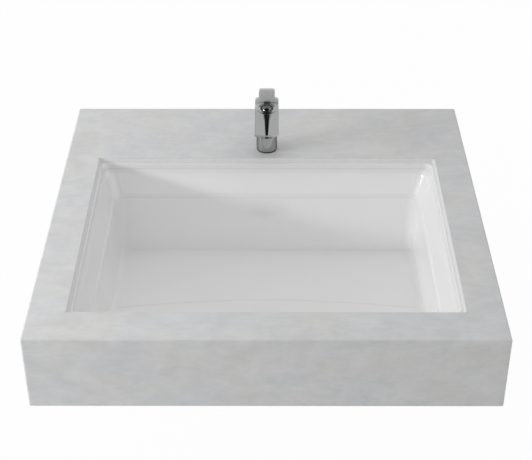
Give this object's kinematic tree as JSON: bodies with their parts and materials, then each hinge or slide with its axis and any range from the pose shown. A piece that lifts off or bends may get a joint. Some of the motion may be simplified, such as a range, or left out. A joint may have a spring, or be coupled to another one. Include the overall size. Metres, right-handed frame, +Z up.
{
  "type": "undermount bathroom sink",
  "caption": "Rectangular undermount basin with a stepped bowl, clipped below a veined stone top with deep aprons, with an overflow, a press-to-close waste and a small chrome lever tap.",
  "frame": {"origin": "on the underside of the stone top, on the centre line, in the middle of the strip behind the cut-out that rests on the cabinet's back rail", "axes": "+X to the right as seen from the front, +Y to the wall behind, +Z up"},
  "size_m": [0.579, 0.56, 0.3685],
  "materials": {
    "stone": "polished",
    "glaze": "gloss",
    "silicone": "satin",
    "chrome": "polished",
    "brass": "machined",
    "steel": "zinc plated",
    "rubber": "matte",
    "plastic": "moulded",
    "disc_ceramic": "lapped"
  },
  "bodies": {
    "base": {"countertop_slab": "stone", "front_apron": "stone", "left_apron": "stone", "right_apron": "stone", "basin": "glaze", "sealant_bead": "silicone", "flange_seal": "rubber", "drain_body": "chrome", "drain_gasket": "rubber", "drain_washer": "steel", "drain_locknut": "brass", "tailpiece_washer": "rubber", "tailpiece": "chrome", "click_cartridge": "brass", "plug_spring": "steel", "clip_anchors": "brass", "clip_studs": "steel", "basin_clips": "steel", "clip_washers": "steel", "clip_wing_nuts": "steel", "tap_body": "chrome", "ball_collar": "chrome", "ball_wiper": "rubber", "aerator_washer": "rubber", "aerator_shell": "chrome", "aerator_insert": "plastic", "tap_base_gasket": "rubber", "tap_shank": "brass", "tap_rubber_washer": "rubber", "tap_steel_washer": "steel", "tap_ring_nut": "brass", "cartridge_housing": "plastic", "fixed_disc": "disc_ceramic", "inlet_seals": "rubber", "retaining_ring": "brass"},
    "lever_base": {"lever_yoke": "plastic", "lever_axle": "steel", "cartridge_rotor": "plastic"},
    "lever": {"lever_handle": "chrome"},
    "disc": {"disc_carrier": "plastic", "moving_disc": "disc_ceramic"},
    "plug": {"drain_plug": "chrome", "plug_seal": "rubber", "plug_stem": "brass"}
  },
  "joints": [
    {"name": "lever_swivel", "type": "hinge", "parent": "base", "child": "lever_base", "pos_m": [0, -0.099, 0.075], "axis": [0, 0, 1], "range_deg": [-45, 45]},
    {"name": "lever_tilt", "type": "hinge", "parent": "lever_base", "child": "lever", "pos_m": [0, -0.099, 0.075], "axis": [1, 0, 0], "range_deg": [0, 18]},
    {"name": "disc_slide", "type": "slide", "parent": "lever_base", "child": "disc", "axis": [0, 1, 0], "range_m": [0, 0.0047]},
    {"name": "plug_press", "type": "slide", "parent": "base", "child": "plug", "axis": [0, 0, 1], "range_m": [0, 0.008], "deforming": ["plug_spring"]}
  ],
  "couplings": [
    {"joint": "disc_slide", "follows": "lever_tilt", "m_per_rad": 0.01495}
  ]
}
